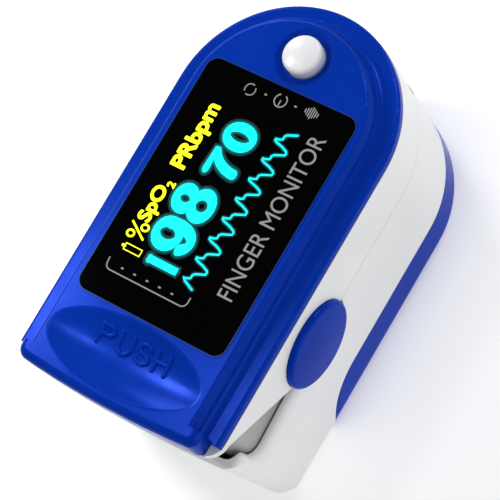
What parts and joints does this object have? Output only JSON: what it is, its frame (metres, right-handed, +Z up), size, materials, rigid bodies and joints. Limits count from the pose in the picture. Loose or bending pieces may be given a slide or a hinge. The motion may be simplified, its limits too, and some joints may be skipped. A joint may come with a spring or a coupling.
{
  "type": "fingertip pulse oximeter",
  "caption": "Clip-on fingertip pulse oximeter: two sprung jaws with soft finger pads, a display and a button on the upper jaw, a sliding cover under the cells.",
  "frame": {"origin": "bottom centre of the object's box, on the surface it stands on", "axes": "+Z up through the display, +Y towards the round end where the finger goes in, +X across"},
  "size_m": [0.0332, 0.0568, 0.0323],
  "materials": {
    "blue_plastic": "gloss",
    "white_plastic": "satin",
    "lens": "gloss",
    "button_plastic": "satin",
    "silicone": "matte",
    "display_glass": "gloss",
    "circuit_board": "satin",
    "chip_resin": "matte",
    "ribbon_film": "satin",
    "sensor_resin": "clear",
    "switch_steel": "satin",
    "pin_steel": "polished",
    "spring_steel": "satin",
    "screw_steel": "satin",
    "contact_nickel": "satin",
    "cell_jacket": "satin",
    "white_frame": "satin"
  },
  "bodies": {
    "lower_jaw": {"lower_housing": "white_plastic", "lower_frame": "white_frame", "lower_finger_pad": "silicone", "detector_board": "circuit_board", "photodiode": "chip_resin", "frame_screws": "screw_steel", "jaw_flex": "ribbon_film", "battery_bridge": "contact_nickel", "battery_contacts": "contact_nickel", "battery_spring": "contact_nickel", "battery_left": "cell_jacket", "battery_right": "cell_jacket", "torsion_spring_left": "spring_steel", "torsion_spring_right": "spring_steel"},
    "upper_jaw": {"top_cover": "blue_plastic", "display_lens": "lens", "display_module": "display_glass", "display_flex": "ribbon_film", "main_pcb": "circuit_board", "pcb_chips": "chip_resin", "tact_switch": "switch_steel", "upper_housing": "white_plastic", "upper_finger_pad": "silicone", "emitter_board": "circuit_board", "emitter_leds": "sensor_resin", "cover_screws": "screw_steel", "hinge_cap_left": "blue_plastic", "hinge_cap_right": "blue_plastic", "hinge_pin_left": "pin_steel", "hinge_pin_right": "pin_steel"},
    "power_button": {"power_button": "button_plastic", "switch_plunger": "chip_resin"},
    "battery_cover": {"battery_cover": "blue_plastic"}
  },
  "joints": [
    {"name": "jaw_hinge", "type": "hinge", "parent": "lower_jaw", "child": "upper_jaw", "pos_m": [0, -0.0086, 0.0204], "axis": [1, 0, 0], "range_deg": [0, 15], "stiffness_Nm_per_rad": 0.12, "springref_deg": -51.57, "deforming": ["torsion_spring_left", "torsion_spring_right", "jaw_flex"]},
    {"name": "power_press", "type": "slide", "parent": "upper_jaw", "child": "power_button", "axis": [0, 0, -1], "range_m": [0, 0.00035], "stiffness_N_per_m": 900, "springref_m": -0.0005},
    {"name": "battery_cover_slide", "type": "slide", "parent": "lower_jaw", "child": "battery_cover", "axis": [0, 1, 0], "range_m": [0, 0.045]}
  ]
}
